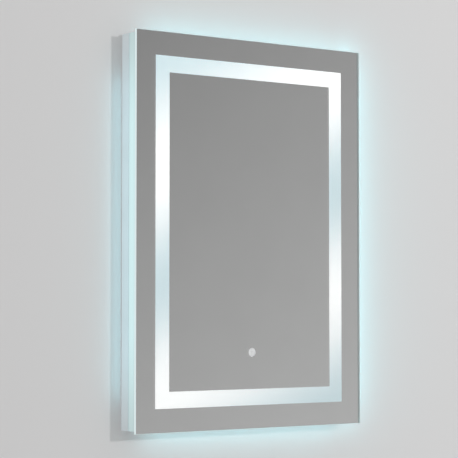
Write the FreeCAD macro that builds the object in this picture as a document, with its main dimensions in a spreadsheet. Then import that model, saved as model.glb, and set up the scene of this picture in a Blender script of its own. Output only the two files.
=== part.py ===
import FreeCAD, Part
import math
import os
from types import SimpleNamespace

import Sketcher
from FreeCAD import Placement, Rotation, Vector

# A wall-hung lighted bathroom mirror. A mitred frame of one aluminium profile is bonded to the back of
# the glass. LED strips on the inside of its web light a frosted band in the mirror, and LED strips on
# the outside of the web glow through opal lenses onto the wall. A pressed panel closes the back, and a
# hook rail riveted to it hangs over a rail that is screwed to the wall.
#
# Frame: +X to the viewer's right, -Y out of the wall towards the viewer, +Z up. The origin is the
# centre of the wall rail's screw holes, on the wall's surface.
#
# Words used below: "margin" is a distance inwards from the glass's outer edge, "behind" is a distance
# behind the glass's back face, and "off_wall" is a distance out from the wall.

# Driving dimensions in millimetres. Every other size is worked out from these.
DIMENSIONS = {
    "glass_width": 500,
    "glass_height": 700,
    "glass_thick": 5,
    "glass_arris": 0.6,
    "overall_depth": 55,
    "top_over_rail": 130,
    "band_margin": 42,
    "band_width": 29,
    "touch_spot_radius": 8,
    "touch_spot_height": 137,
    "silvering_thick": 0.2,
    "tape_thick": 0.8,
    "diffuser_thick": 1.5,
    "frame_inset": 4,
    "profile_width": 23,
    "profile_wall": 1.5,
    "key_chamber": 5,
    "wall_gap": 3,
    "front_flange": 30,
    "lens_shelf": 27,
    "lens_lip": 1.2,
    "lens_thick": 1.4,
    "ledge_reach": 10,
    "pan_behind": 35,
    "sheet_thick": 1,
    "strip_width": 10,
    "strip_thick": 1,
    "light_width": 3.5,
    "light_height": 0.8,
    "rail_steel": 2,
    "wall_rail_length": 400,
    "hook_rail_length": 420,
    "rail_flange": 14,
    "rail_standoff": 6,
    "rail_engagement": 12,
    "wall_hole_radius": 2.75,
    "wall_hole_spacing": 320,
    "inner_hole_spacing": 160,
    "cable_radius": 3.75,
    "lead_width": 5,
    "lead_thick": 2,
}

SIDES = {"top": 0, "right": 90, "bottom": 180, "left": 270}
OUTPUT_FOLDER = "parts"

doc = FreeCAD.newDocument("lighted_mirror")
sheet = doc.addObject("Spreadsheet::Sheet", "Dimensions")
sub_parts = []


class Size:
    """A length with its number and with the spreadsheet expression that gives the same number."""

    def __init__(self, number, text):
        self.number = number
        self.text = text

    def __add__(self, other):
        other = as_size(other)
        return Size(self.number + other.number, f"({self.text} + {other.text})")

    def __sub__(self, other):
        other = as_size(other)
        return Size(self.number - other.number, f"({self.text} - {other.text})")

    def __mul__(self, factor):
        return Size(self.number * factor, f"({self.text} * {factor})")

    def __truediv__(self, divisor):
        return Size(self.number / divisor, f"({self.text} / {divisor})")

    def __neg__(self):
        return Size(-self.number, f"(0 - {self.text})")

    def __radd__(self, other):
        return as_size(other) + self

    def __rsub__(self, other):
        return as_size(other) - self


def as_size(value):
    """A Size as it is, and a plain number as a Size."""
    if isinstance(value, Size):
        return value
    return Size(value, f"({value})")


def fill_sheet():
    """Writes the driving dimensions to the spreadsheet and returns them as Sizes."""
    sizes = {}
    for row, (alias, value) in enumerate(DIMENSIONS.items(), start=1):
        sheet.set(f"A{row}", alias)
        sheet.set(f"B{row}", str(value))
        sheet.setAlias(f"B{row}", alias)
        sizes[alias] = Size(value, f"Dimensions.{alias}")
    doc.recompute()
    return SimpleNamespace(**sizes)


size = fill_sheet()
glass_back = size.overall_depth - size.glass_thick
centre_height = size.top_over_rail - size.glass_height / 2
half_width = size.glass_width / 2
half_height = size.glass_height / 2
pan_back = glass_back - size.pan_behind - size.sheet_thick
pan_front = glass_back - size.pan_behind


# ---------------------------------------------------------------- drawing helpers


def bind(owner, path, value):
    """Ties a property of an object to a size."""
    owner.setExpression(path, as_size(value).text)


def new_body(label):
    """An empty body on the mirror's centre line, at the height of the mirror's centre."""
    body = doc.addObject("PartDesign::Body", label)
    body.Label = label
    bind(body, "Placement.Base.z", centre_height)
    sub_parts.append(body)
    return body


def new_sketch(body, plane, offset=0):
    """A sketch on one of the body's own origin planes, moved along the plane's normal."""
    features = {feature.Role: feature for feature in body.Origin.OriginFeatures}
    sketch = body.newObject("Sketcher::SketchObject", "outline")
    sketch.AttachmentSupport = [(features[plane], "")]
    sketch.MapMode = "FlatFace"
    bind(sketch, "AttachmentOffset.Base.z", offset)
    return sketch


def fix_point(sketch, geometry, end, point):
    """Ties one point of a sketch's geometry to a pair of sizes."""
    for kind, value in zip(("DistanceX", "DistanceY"), point):
        value = as_size(value)
        constraint = Sketcher.Constraint(kind, -1, 1, geometry, end, float(value.number))
        index = sketch.addConstraint(constraint)
        bind(sketch, f"Constraints[{index}]", value)


def add_outline(sketch, points):
    """A closed outline of straight lines through the points."""
    first = sketch.GeometryCount
    corners = [Vector(as_size(x).number, as_size(y).number, 0) for x, y in points]
    for start, end in zip(corners, corners[1:] + corners[:1]):
        sketch.addGeometry(Part.LineSegment(start, end))
    for number, point in enumerate(points):
        following = first + (number + 1) % len(points)
        sketch.addConstraint(Sketcher.Constraint("Coincident", first + number, 2, following, 1))
        fix_point(sketch, first + number, 1, point)


def add_rectangle(sketch, left, bottom, right, top):
    add_outline(sketch, [(left, bottom), (right, bottom), (right, top), (left, top)])


def add_centred(sketch, width, height, centre=(0, 0)):
    """A rectangle given by its size and its centre."""
    x, y = centre
    half_w = as_size(width) / 2
    half_h = as_size(height) / 2
    add_rectangle(sketch, x - half_w, y - half_h, x + half_w, y + half_h)


def add_circle(sketch, centre, radius):
    x, y = (as_size(value) for value in centre)
    radius = as_size(radius)
    middle = Vector(x.number, y.number, 0)
    index = sketch.addGeometry(Part.Circle(middle, Vector(0, 0, 1), radius.number))
    fix_point(sketch, index, 3, centre)
    constraint = sketch.addConstraint(Sketcher.Constraint("Radius", index, radius.number))
    bind(sketch, f"Constraints[{constraint}]", radius)


def hexagon_corners(corner_radius):
    """The corners of a regular hexagon about the origin."""
    angles = [math.radians(60 * number) for number in range(6)]
    return [(corner_radius * math.cos(angle), corner_radius * math.sin(angle)) for angle in angles]


def add_hexagon(sketch, corner_radius):
    add_outline(sketch, hexagon_corners(corner_radius))


def pad(body, sketch, length, both_ways=False, taper=0):
    """Solid from a sketch, along the sketch's normal or equally both ways."""
    feature = body.newObject("PartDesign::Pad", "pad")
    feature.Profile = sketch
    feature.TaperAngle = taper
    if both_ways:
        feature.SideType = "Symmetric"
    bind(feature, "Length", length)
    return feature


def pocket(body, sketch, depth, with_normal=True, taper=0):
    """Cut from a sketch, along the sketch's normal unless with_normal is False."""
    feature = body.newObject("PartDesign::Pocket", "pocket")
    feature.Profile = sketch
    feature.Reversed = with_normal
    feature.TaperAngle = taper
    bind(feature, "Length", depth)
    return feature


def pocket_through(body, sketch):
    """Cut from a sketch right through the body, both ways."""
    feature = body.newObject("PartDesign::Pocket", "through")
    feature.Profile = sketch
    feature.SideType = "Symmetric"
    feature.Type = "ThroughAll"
    return feature


def plate_sketch(body, off_wall):
    """A sketch parallel to the wall, at a distance from it, with its normal towards the viewer."""
    return new_sketch(body, "XZ_Plane", off_wall)


def rotate_to_side(body, side):
    """Turns a body that is drawn for the top side about the mirror's centre to another side."""
    body.Placement = Placement(Vector(0, 0, 0), Rotation(Vector(0, 1, 0), SIDES[side]))
    bind(body, "Placement.Base.z", centre_height)


def reach_and_span(side):
    """Distance from the mirror's centre to the glass's edge on a side, and that edge's length."""
    if side in ("top", "bottom"):
        return half_height, size.glass_width
    return half_width, size.glass_height


def section_points(side, points):
    """Points given as (margin, behind) turned into a sketch's coordinates on the YZ plane."""
    reach, _ = reach_and_span(side)
    return [(behind - glass_back, reach - margin) for margin, behind in points]


def cut_mitres(body, side, deepest_margin):
    """Cuts both ends of a strip at 45 degrees, on lines through the glass's corners."""
    reach, span = reach_and_span(side)
    beyond = 2
    sketch = plate_sketch(body, 0)
    for direction in (-1, 1):
        outer = (span / 2 + beyond) * direction
        inner = (span / 2 - deepest_margin - beyond) * direction
        low = reach - deepest_margin - beyond
        add_outline(sketch, [(outer, reach + beyond), (outer, low), (inner, low)])
    pocket_through(body, sketch)


def mitred_strip(label, side, sections, deepest_margin):
    """A strip along one side of the mirror, mitred at both ends. The first section is the outside and
    the others are hollows that run along it."""
    body = new_body(label)
    rotate_to_side(body, side)
    sketch = new_sketch(body, "YZ_Plane")
    for points in sections:
        add_outline(sketch, section_points(side, points))
    _, span = reach_and_span(side)
    pad(body, sketch, span, both_ways=True)
    cut_mitres(body, side, deepest_margin)
    return body


def box_points(near, far, front, back):
    """A rectangular section between two margins and two distances behind the glass."""
    return [(near, front), (far, front), (far, back), (near, back)]


# ---------------------------------------------------------------- glass and silvering


def make_mirror_glass():
    """The glass plate, with its polished arris on all the edges of both faces."""
    body = new_body("mirror_glass")
    sketch = plate_sketch(body, glass_back)
    add_centred(sketch, size.glass_width, size.glass_height)
    plate = pad(body, sketch, size.glass_thick)
    doc.recompute()
    face_edges = []
    for number, edge in enumerate(plate.Shape.Edges, start=1):
        if edge.BoundBox.YLength < 0.01:
            face_edges.append(f"Edge{number}")
    arris = body.newObject("PartDesign::Chamfer", "arris")
    arris.Base = (plate, face_edges)
    bind(arris, "Size", size.glass_arris)


def make_silvering():
    """The silver and its backing paint, in two fields that leave the frosted band clear."""
    border = new_body("silver_border")
    sketch = plate_sketch(border, glass_back - size.silvering_thick)
    edge = size.glass_arris * 2
    add_centred(sketch, size.glass_width - edge, size.glass_height - edge)
    outer_band = size.band_margin * 2
    add_centred(sketch, size.glass_width - outer_band, size.glass_height - outer_band)
    pad(border, sketch, size.silvering_thick)

    field = new_body("silver_field")
    sketch = plate_sketch(field, glass_back - size.silvering_thick)
    inner_band = (size.band_margin + size.band_width) * 2
    add_centred(sketch, size.glass_width - inner_band, size.glass_height - inner_band)
    add_circle(sketch, (0, touch_centre()), size.touch_spot_radius)
    pad(field, sketch, size.silvering_thick)


def touch_centre():
    """Height of the touch spot from the mirror's centre."""
    return size.touch_spot_height - half_height


def make_band_diffusers():
    """Opal strips bonded behind the frosted band."""
    overlap = 2
    near = size.band_margin - overlap
    far = size.band_margin + size.band_width + overlap
    front = size.silvering_thick
    for side in SIDES:
        section = box_points(near, far, front, front + size.diffuser_thick)
        mitred_strip(f"band_diffuser_{side}", side, [section], far)


# ---------------------------------------------------------------- frame


def make_bonding_tape():
    """Foam tape between the silvered glass and the frame's front flange."""
    edge_gap = 2
    near = size.frame_inset + edge_gap
    far = size.frame_inset + size.front_flange - edge_gap
    front = size.silvering_thick
    for side in SIDES:
        section = box_points(near, far, front, front + size.tape_thick)
        mitred_strip(f"bonding_tape_{side}", side, [section], far)


LENS_PLAY = 0.1
LENS_HOOK = 1.5
STRIP_PLAY = 0.1
STRIP_RIB = 0.9
HALO_STRIP_SETBACK = 13
BAND_STRIP_SETBACK = 3
PAN_PLAY = 0.3
PAN_SCREW_SETBACK = 5.5
frame_front = size.silvering_thick + size.tape_thick
frame_back = glass_back - size.wall_gap
flange_back = frame_front + size.profile_wall
flange_end = size.frame_inset + size.front_flange
web_inner = size.frame_inset + size.profile_width
web_outer = web_inner - size.profile_wall * 2 - size.key_chamber
chamber_near = web_outer + size.profile_wall
chamber_far = web_inner - size.profile_wall
lens_lip_inside = size.frame_inset + size.lens_lip
halo_strip_front = frame_front + HALO_STRIP_SETBACK
band_strip_front = frame_front + BAND_STRIP_SETBACK
ledge_end = web_inner + size.ledge_reach
pan_margin = web_inner + PAN_PLAY
pan_screw_margin = web_inner + PAN_SCREW_SETBACK


def lens_groove(behind, hook):
    """Points of the groove that holds one edge of a halo lens, from the frame's outer face inwards.
    hook is how far its two lips stand out, and its sign is the way that they point."""
    groove_far = lens_lip_inside + size.lens_thick + LENS_PLAY * 2
    lip_far = groove_far + 1
    return [
        (size.frame_inset, behind + hook),
        (lens_lip_inside, behind + hook),
        (lens_lip_inside, behind),
        (groove_far, behind),
        (groove_far, behind + hook),
        (lip_far, behind + hook),
        (lip_far, behind),
    ]


def strip_seat(face, rib_tip, front):
    """Points of the two ribs on the web that an LED strip sits between, from the front backwards."""
    near = front - STRIP_PLAY
    far = front + size.strip_width + STRIP_PLAY
    return [
        (face, near - STRIP_RIB),
        (rib_tip, near - STRIP_RIB),
        (rib_tip, near),
        (face, near),
        (face, far),
        (rib_tip, far),
        (rib_tip, far + STRIP_RIB),
        (face, far + STRIP_RIB),
    ]


def profile_outside():
    """The frame profile's outline, from the front flange's outer corner along the channel for the
    halo lens, round the skirt, and back along the ledge for the back panel and the band's strip."""
    ledge_front = size.pan_behind - size.profile_wall
    return [
        (size.frame_inset, frame_front),
        *lens_groove(flange_back, LENS_HOOK),
        (web_outer, flange_back),
        *strip_seat(web_outer, web_outer - STRIP_RIB, halo_strip_front),
        (web_outer, size.lens_shelf),
        *reversed(lens_groove(size.lens_shelf, -LENS_HOOK)),
        (size.frame_inset, frame_back),
        (web_inner, frame_back),
        (web_inner, size.pan_behind),
        (ledge_end, size.pan_behind),
        (ledge_end, ledge_front),
        (web_inner, ledge_front),
        *reversed(strip_seat(web_inner, web_inner + STRIP_RIB, band_strip_front)),
        (web_inner, flange_back),
        (flange_end, flange_back),
        (flange_end, frame_front),
    ]


def profile_hollows():
    """The profile's two closed chambers: one for the corner keys, and one in the skirt."""
    back = frame_back - size.profile_wall
    skirt_near = size.frame_inset + size.profile_wall
    skirt_front = size.lens_shelf + size.profile_wall
    key_chamber = box_points(chamber_near, chamber_far, flange_back, back)
    skirt_chamber = box_points(skirt_near, web_outer, skirt_front, back)
    return [key_chamber, skirt_chamber]


def pan_screw_places(side):
    """Distances of the back panel's screws along one side, from the middle of that side."""
    _, span = reach_and_span(side)
    return [span * -0.32, span * 0.32]


def make_frame_rails():
    """Four mitred lengths of one profile, with pilot holes in the ledge for the panel's screws."""
    pilot_radius = 1.5
    sections = [profile_outside(), *profile_hollows()]
    for side in SIDES:
        rail = mitred_strip(f"frame_rail_{side}", side, sections, ledge_end)
        reach, _ = reach_and_span(side)
        pilots = plate_sketch(rail, pan_front)
        for along in pan_screw_places(side):
            add_circle(pilots, (along, reach - pan_screw_margin), pilot_radius)
        pocket(rail, pilots, size.profile_wall)
        if side == "left":
            cut_lead_hole(rail)


def cut_lead_hole(rail):
    """The slot through the left rail's two webs, for the lead to the halo's LED strips. The rail is
    drawn as the top one, so the lead's height is a distance along it."""
    beyond = 1
    play = 1.4
    hole = new_sketch(rail, "XY_Plane", half_width - web_inner - beyond)
    place = (HALO_LEAD_HEIGHT, halo_lead_behind - glass_back)
    add_centred(hole, size.lead_width + play, size.lead_thick + play, place)
    pocket(rail, hole, web_inner - web_outer + beyond * 2)


def make_corner_keys():
    """L-shaped keys in the corner chambers, which pull the mitres together."""
    leg = 45
    play = 0.1
    near = chamber_near + play
    far = chamber_far - play
    chamber_back = frame_back - size.profile_wall
    corners = {
        "top_right": (0, half_width, half_height),
        "bottom_right": (90, half_width, -half_height),
        "bottom_left": (180, -half_width, -half_height),
        "top_left": (270, -half_width, half_height),
    }
    for name, (angle, x, z) in corners.items():
        body = new_body(f"corner_key_{name}")
        body.Placement = Placement(Vector(0, 0, 0), Rotation(Vector(0, 1, 0), angle))
        bind(body, "Placement.Base.x", x)
        bind(body, "Placement.Base.z", centre_height + z)
        sketch = plate_sketch(body, glass_back - chamber_back + play)
        end = near + leg
        points = [(near, near), (end, near), (end, far), (far, far), (far, end), (near, end)]
        add_outline(sketch, [(-across, -down) for across, down in points])
        pad(body, sketch, chamber_back - flange_back - play * 2)


def make_halo_lenses():
    """Opal lenses in the frame's outer channel. Their thin edges sit in the profile's grooves and
    their middle stands out, flush with the frame."""
    front = flange_back + LENS_PLAY
    back = size.lens_shelf - LENS_PLAY
    lip = lens_lip_inside + LENS_PLAY
    face = size.frame_inset + 0.2
    inside = lip + size.lens_thick
    step = LENS_HOOK + LENS_PLAY
    bevel = 0.8
    for side in SIDES:
        section = [
            (inside, front),
            (lip, front),
            (lip, front + step),
            (face + bevel, front + step),
            (face, front + step + bevel),
            (face, back - step - bevel),
            (face + bevel, back - step),
            (lip, back - step),
            (lip, back),
            (inside, back),
        ]
        mitred_strip(f"halo_lens_{side}", side, [section], inside)


# ---------------------------------------------------------------- LED strips


STRIP_END_GAP = 3


def led_strip(label, side, base, behind, outwards):
    """An LED strip on a face of the web: a thin board with one unbroken line of light along it, so
    that no dots show through the opal pieces. base is the face's margin."""
    reach, span = reach_and_span(side)
    body = new_body(label)
    rotate_to_side(body, side)
    direction = -1 if outwards else 1
    board_top = base + size.strip_thick * direction
    light_top = board_top + size.light_height * direction
    far = behind + size.strip_width
    light_near = (behind + far - size.light_width) / 2
    light_far = light_near + size.light_width
    section = [
        (base, behind),
        (board_top, behind),
        (board_top, light_near),
        (light_top, light_near),
        (light_top, light_far),
        (board_top, light_far),
        (board_top, far),
        (base, far),
    ]
    sketch = new_sketch(body, "YZ_Plane")
    add_outline(sketch, section_points(side, section))
    pad(body, sketch, span - (base + STRIP_END_GAP) * 2, both_ways=True)


def make_led_strips():
    for side in SIDES:
        led_strip(f"halo_led_strip_{side}", side, web_outer, halo_strip_front, outwards=True)
        led_strip(f"band_led_strip_{side}", side, web_inner, band_strip_front, outwards=False)


# ---------------------------------------------------------------- back panel


HOLE_PLAY = 0.1
PAN_HOLE_RADIUS = 2.1
BEAD_LENGTH = 330
BEAD_WIDTH = 14
BEAD_HEIGHT = 2.5
BEAD_SLOPE = 35
BEAD_LEVELS = (-270, -165, -75, 165)
VENT_LENGTH = 60
VENT_HEIGHT = 2.5
VENT_COLUMNS = (-40, 40)
VENT_LEVELS = (-120, -114, -108, 120, 126, 132)


def make_back_pan():
    """The pressed panel that closes the back: stiffening beads, vents, and holes for the screws, the
    rivets and the cable gland."""
    body = new_body("back_pan")
    outline = plate_sketch(body, pan_back)
    add_centred(outline, size.glass_width - pan_margin * 2, size.glass_height - pan_margin * 2)
    pad(body, outline, size.sheet_thick)
    press_beads(body)
    openings = plate_sketch(body, pan_back)
    for level in VENT_LEVELS:
        for x in VENT_COLUMNS:
            add_centred(openings, VENT_LENGTH, VENT_HEIGHT, (x, level))
    for centre in pan_screw_centres():
        add_circle(openings, centre, PAN_HOLE_RADIUS)
    for centre in rivet_centres():
        add_circle(openings, centre, RIVET_RADIUS + HOLE_PLAY)
    for centre in driver_screw_centres():
        add_circle(openings, centre, DRIVER_SCREW_RADIUS + HOLE_PLAY)
    add_circle(openings, (0, 0), GLAND_THREAD_RADIUS + HOLE_PLAY)
    pocket_through(body, openings)


def press_beads(body):
    """Long beads pressed towards the wall, hollow on the inside as in sheet metal."""
    for level in BEAD_LEVELS:
        outer = plate_sketch(body, pan_back)
        add_bead(outer, level, BEAD_LENGTH, BEAD_WIDTH)
        raised = pad(body, outer, BEAD_HEIGHT, taper=-BEAD_SLOPE)
        raised.Reversed = True
        inner = plate_sketch(body, pan_front)
        add_bead(inner, level, BEAD_LENGTH - size.sheet_thick * 2, BEAD_WIDTH - size.sheet_thick * 2)
        pocket(body, inner, BEAD_HEIGHT, with_normal=False, taper=-BEAD_SLOPE)


def add_bead(sketch, level, length, width):
    """A level bead's outline, with its four corners cut off."""
    end = as_size(length) / 2
    side = as_size(width) / 2
    cut = BEAD_WIDTH * 0.3
    corners = [(end, side - cut), (end - cut, side), (cut - end, side), (-end, side - cut)]
    upper = [(x, level + z) for x, z in corners]
    lower = [(x, level - z) for x, z in reversed(corners)]
    add_outline(sketch, upper + lower)


def pan_screw_centres():
    """Centres of the panel's screws, from the mirror's centre."""
    across = half_width - pan_screw_margin
    down = half_height - pan_screw_margin
    centres = []
    for x in pan_screw_places("top"):
        centres += [(x, down), (x, -down)]
    for z in pan_screw_places("left"):
        centres += [(across, z), (-across, z)]
    return centres


# ---------------------------------------------------------------- fasteners


RIVET_RADIUS = 2
DRIVER_SCREW_RADIUS = 1.5
LID_SCREW_RADIUS = 1.4
RIVET_HEIGHT_ON_FLANGE = 16


def hexagonal_head(radius, length, base, axis):
    """A six-sided head that stands on a plane parallel to the wall."""
    corners = [base + Vector(x, 0, z) for x, z in hexagon_corners(radius)]
    return Part.Face(Part.makePolygon(corners + corners[:1])).extrude(axis * length)


def fastener_group(label, centres, seat, head, shank, make_head=hexagonal_head, points_at_wall=False):
    """Identical fasteners as separate solids in one group. seat is how far off the wall the heads'
    undersides are, and head and shank are each (radius, length)."""
    axis = Vector(0, 1, 0) if points_at_wall else Vector(0, -1, 0)
    fasteners = []
    for centre in centres:
        x, z = (as_size(value).number for value in centre)
        base = Vector(x, -seat.number, z)
        fasteners.append(make_head(*head, base, -axis).fuse(Part.makeCylinder(*shank, base, axis)))
    group = doc.addObject("Part::Feature", label)
    group.Label = label
    group.Shape = Part.makeCompound(fasteners)
    bind(group, "Placement.Base.z", centre_height)
    sub_parts.append(group)


def rivet_centres():
    """Centres of the hook rail's rivets, from the mirror's centre."""
    height = hook_seat + RIVET_HEIGHT_ON_FLANGE - centre_height
    return [(size.hook_rail_length * share, height) for share in (-0.43, -0.15, 0.15, 0.43)]


def make_fasteners():
    fastener_group("pan_screws", pan_screw_centres(), pan_back, head=(3.2, 2.4), shank=(1.45, 6.5))
    fastener_group(
        "driver_screws",
        driver_screw_centres(),
        pan_back,
        head=(2.9, 2),
        shank=(DRIVER_SCREW_RADIUS, 6),
    )
    fastener_group(
        "terminal_lid_screws",
        lid_screw_centres(),
        pan_front + CASE_DEPTH + LID_THICK,
        head=(2.9, 2),
        shank=(LID_SCREW_RADIUS, 10),
        points_at_wall=True,
    )
    fastener_group(
        "hook_rail_rivets",
        rivet_centres(),
        pan_back - size.rail_steel,
        head=(4, 1.4),
        shank=(RIVET_RADIUS, 5),
        make_head=Part.makeCylinder,
    )


# ---------------------------------------------------------------- hanging rails


HOOK_PLAY = 0.3
HOOK_LIP_GAP = 0.7
HOOK_FLANGE = 28
BUMPER_WIDTH = 20
BUMPER_HEIGHT = 12
BUMPER_INSET = 30
hook_seat = size.rail_flange + size.rail_steel + size.rail_engagement
hook_top = hook_seat + size.rail_steel + HOOK_FLANGE


def make_wall_rail():
    """The rail on the wall: a flange with the screw holes, a shelf, and a lip that points up."""
    body = new_body("wall_rail")
    body.setExpression("Placement.Base.z", None)
    body.Placement = Placement()
    steel = size.rail_steel
    shelf = size.rail_flange
    out = size.rail_standoff + steel
    section = [
        (0, -shelf),
        (steel, -shelf),
        (steel, shelf),
        (out, shelf),
        (out, hook_seat),
        (size.rail_standoff, hook_seat),
        (size.rail_standoff, shelf + steel),
        (0, shelf + steel),
    ]
    sketch = new_sketch(body, "YZ_Plane")
    add_outline(sketch, [(-off_wall, height) for off_wall, height in section])
    pad(body, sketch, size.wall_rail_length, both_ways=True)
    holes = plate_sketch(body, 0)
    for spacing in (size.wall_hole_spacing, size.inner_hole_spacing):
        for across in (-(spacing / 2), spacing / 2):
            add_circle(holes, (across, 0), size.wall_hole_radius)
    pocket_through(body, holes)


def make_hook_rail():
    """The rail riveted to the back panel: its lip points down, inside the wall rail's lip."""
    body = new_body("hook_rail")
    steel = size.rail_steel
    lip_out = size.rail_standoff - HOOK_PLAY
    lip_in = lip_out - steel
    lip_bottom = hook_seat - size.rail_engagement + HOOK_LIP_GAP
    section = [
        (pan_back, hook_top),
        (pan_back - steel, hook_top),
        (pan_back - steel, hook_seat + steel),
        (lip_in, hook_seat + steel),
        (lip_in, lip_bottom),
        (lip_out, lip_bottom),
        (lip_out, hook_seat),
        (pan_back, hook_seat),
    ]
    sketch = new_sketch(body, "YZ_Plane")
    add_outline(sketch, [(-off_wall, height - centre_height) for off_wall, height in section])
    pad(body, sketch, size.hook_rail_length, both_ways=True)
    holes = plate_sketch(body, pan_back - steel)
    for centre in rivet_centres():
        add_circle(holes, centre, RIVET_RADIUS + HOLE_PLAY)
    pocket(body, holes, steel)


def make_wall_bumpers():
    """Rubber pads under the lower corners, which keep the mirror parallel to the wall."""
    across = half_width - size.frame_inset - BUMPER_INSET
    down = half_height - size.frame_inset - size.profile_width / 2
    for name, direction in (("left", -1), ("right", 1)):
        body = new_body(f"wall_bumper_{name}")
        sketch = plate_sketch(body, 0)
        add_centred(sketch, BUMPER_WIDTH, BUMPER_HEIGHT, (across * direction, -down))
        pad(body, sketch, size.wall_gap)


# ---------------------------------------------------------------- cable gland and terminal box


GLAND_THREAD_RADIUS = 6
GLAND_THREAD_LENGTH = 9
GLAND_BODY_CORNER = 10
GLAND_BODY_LENGTH = 4
GLAND_CAP_CORNER = 8.8
GLAND_CAP_LENGTH = 5
NUT_CORNER = 9.5
NUT_THICK = 4
BOX_WIDTH = 84
BOX_HEIGHT = 46
BOX_CENTRE = 28
POST_WIDTH = 6.5
POST_INSET = 7
CASE_DEPTH = 22
CASE_WALL = 1.6
LID_THICK = 2
LID_RIM_DEPTH = 2
LID_RIM_THICK = 1.5
LID_PLAY = 0.15
POLE_PITCH = 10
BLOCK_HEIGHT = 18
BLOCK_DEPTH = 12
BLOCK_OFFSET = 12
CLAMP_OPENING_WIDTH = 4
CLAMP_OPENING_HEIGHT = 3
WIRE_ENTRY_WIDTH = 3.2


def make_cable_gland():
    """The gland that the mains cable passes through, and the nut that holds it in the box's floor."""
    body = new_body("cable_gland")
    flats = plate_sketch(body, pan_back - GLAND_BODY_LENGTH)
    add_hexagon(flats, GLAND_BODY_CORNER)
    pad(body, flats, GLAND_BODY_LENGTH)
    cap = plate_sketch(body, pan_back - GLAND_BODY_LENGTH - GLAND_CAP_LENGTH)
    add_hexagon(cap, GLAND_CAP_CORNER)
    pad(body, cap, GLAND_CAP_LENGTH)
    thread = plate_sketch(body, pan_back)
    add_circle(thread, (0, 0), GLAND_THREAD_RADIUS)
    pad(body, thread, GLAND_THREAD_LENGTH)
    bore = plate_sketch(body, pan_back)
    add_circle(bore, (0, 0), size.cable_radius)
    pocket_through(body, bore)

    nut = new_body("gland_nut")
    sketch = plate_sketch(nut, pan_front + CASE_WALL)
    add_hexagon(sketch, NUT_CORNER)
    add_circle(sketch, (0, 0), GLAND_THREAD_RADIUS + HOLE_PLAY)
    pad(nut, sketch, NUT_THICK)


def open_case(label, centre, width, height):
    """A tray on the front of the back panel, open towards the glass."""
    body = new_body(label)
    outline = plate_sketch(body, pan_front)
    add_centred(outline, width, height, centre)
    pad(body, outline, CASE_DEPTH)
    cavity = plate_sketch(body, pan_front + CASE_WALL)
    add_centred(cavity, width - CASE_WALL * 2, height - CASE_WALL * 2, centre)
    pocket(body, cavity, CASE_DEPTH)
    return body


def case_lid(label, centre, width, height, hole_centres=()):
    """A lid with a rim that fits inside its case."""
    body = new_body(label)
    outline = plate_sketch(body, pan_front + CASE_DEPTH)
    add_centred(outline, width, height, centre)
    for hole_centre in hole_centres:
        add_circle(outline, hole_centre, LID_SCREW_RADIUS + HOLE_PLAY)
    pad(body, outline, LID_THICK)
    rim = plate_sketch(body, pan_front + CASE_DEPTH - LID_RIM_DEPTH)
    for inset in (CASE_WALL + LID_PLAY, CASE_WALL + LID_PLAY + LID_RIM_THICK):
        add_centred(rim, width - inset * 2, height - inset * 2, centre)
    pad(body, rim, LID_RIM_DEPTH)


def lid_screw_centres():
    """The two screws of the terminal box's lid, in opposite corners."""
    across = BOX_WIDTH / 2 - POST_INSET
    down = BOX_HEIGHT / 2 - POST_INSET
    return [(BOX_CENTRE - across, down), (BOX_CENTRE + across, -down)]


def make_terminal_box():
    """The box that the mains cable ends in, with its two screw posts and its lid."""
    centre = (BOX_CENTRE, 0)
    box = open_case("terminal_box", centre, BOX_WIDTH, BOX_HEIGHT)
    gland_hole = plate_sketch(box, pan_front)
    add_circle(gland_hole, (0, 0), GLAND_THREAD_RADIUS + HOLE_PLAY)
    pocket(box, gland_hole, CASE_WALL)
    posts = plate_sketch(box, pan_front + CASE_WALL)
    for post_centre in lid_screw_centres():
        add_centred(posts, POST_WIDTH, POST_WIDTH, post_centre)
        add_circle(posts, post_centre, LID_SCREW_RADIUS + HOLE_PLAY)
    pad(box, posts, CASE_DEPTH - CASE_WALL - LID_PLAY)
    case_lid("terminal_box_lid", centre, BOX_WIDTH, BOX_HEIGHT, lid_screw_centres())


def make_terminal_block():
    """Three spring clamps, each with a wire entry through it and two openings in its front."""
    middle = BOX_CENTRE + BLOCK_OFFSET
    floor = pan_front + CASE_WALL
    body = new_body("terminal_block")
    block = plate_sketch(body, floor)
    add_centred(block, POLE_PITCH * 3, BLOCK_HEIGHT, (middle, 0))
    pad(body, block, BLOCK_DEPTH)
    openings = plate_sketch(body, floor + BLOCK_DEPTH)
    entries = new_sketch(body, "XY_Plane", -BLOCK_HEIGHT / 2)
    for pole in (-1, 0, 1):
        x = middle + pole * POLE_PITCH
        for z in (-BLOCK_HEIGHT / 4, BLOCK_HEIGHT / 4):
            add_centred(openings, CLAMP_OPENING_WIDTH, CLAMP_OPENING_HEIGHT, (x, z))
        entry_centre = (x, -(floor + BLOCK_DEPTH / 3))
        add_centred(entries, WIRE_ENTRY_WIDTH, WIRE_ENTRY_WIDTH, entry_centre)
    pocket(body, openings, BLOCK_DEPTH / 3, with_normal=False)
    pocket(body, entries, BLOCK_HEIGHT)


# ---------------------------------------------------------------- LED driver


DRIVER_LENGTH = 150
DRIVER_WIDTH = 42
DRIVER_LEVEL = 90
EAR_LENGTH = 10
EAR_WIDTH = 16
EAR_THICK = 2.5
BOARD_LENGTH = 142
BOARD_WIDTH = 36
BOARD_THICK = 1.6
BOARD_POST_HEIGHT = 3
BOARD_POST_WIDTH = 5
BOARD_POST_ACROSS = 62
BOARD_POST_UP = 13
TRANSFORMER_X = 5
TRANSFORMER_LENGTH = 26
TRANSFORMER_WIDTH = 22
TRANSFORMER_DEPTH = 14
CAPACITOR_DEPTH = 13
CAPACITORS = ((-40, 5, 6), (46, -6, 4))


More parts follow.
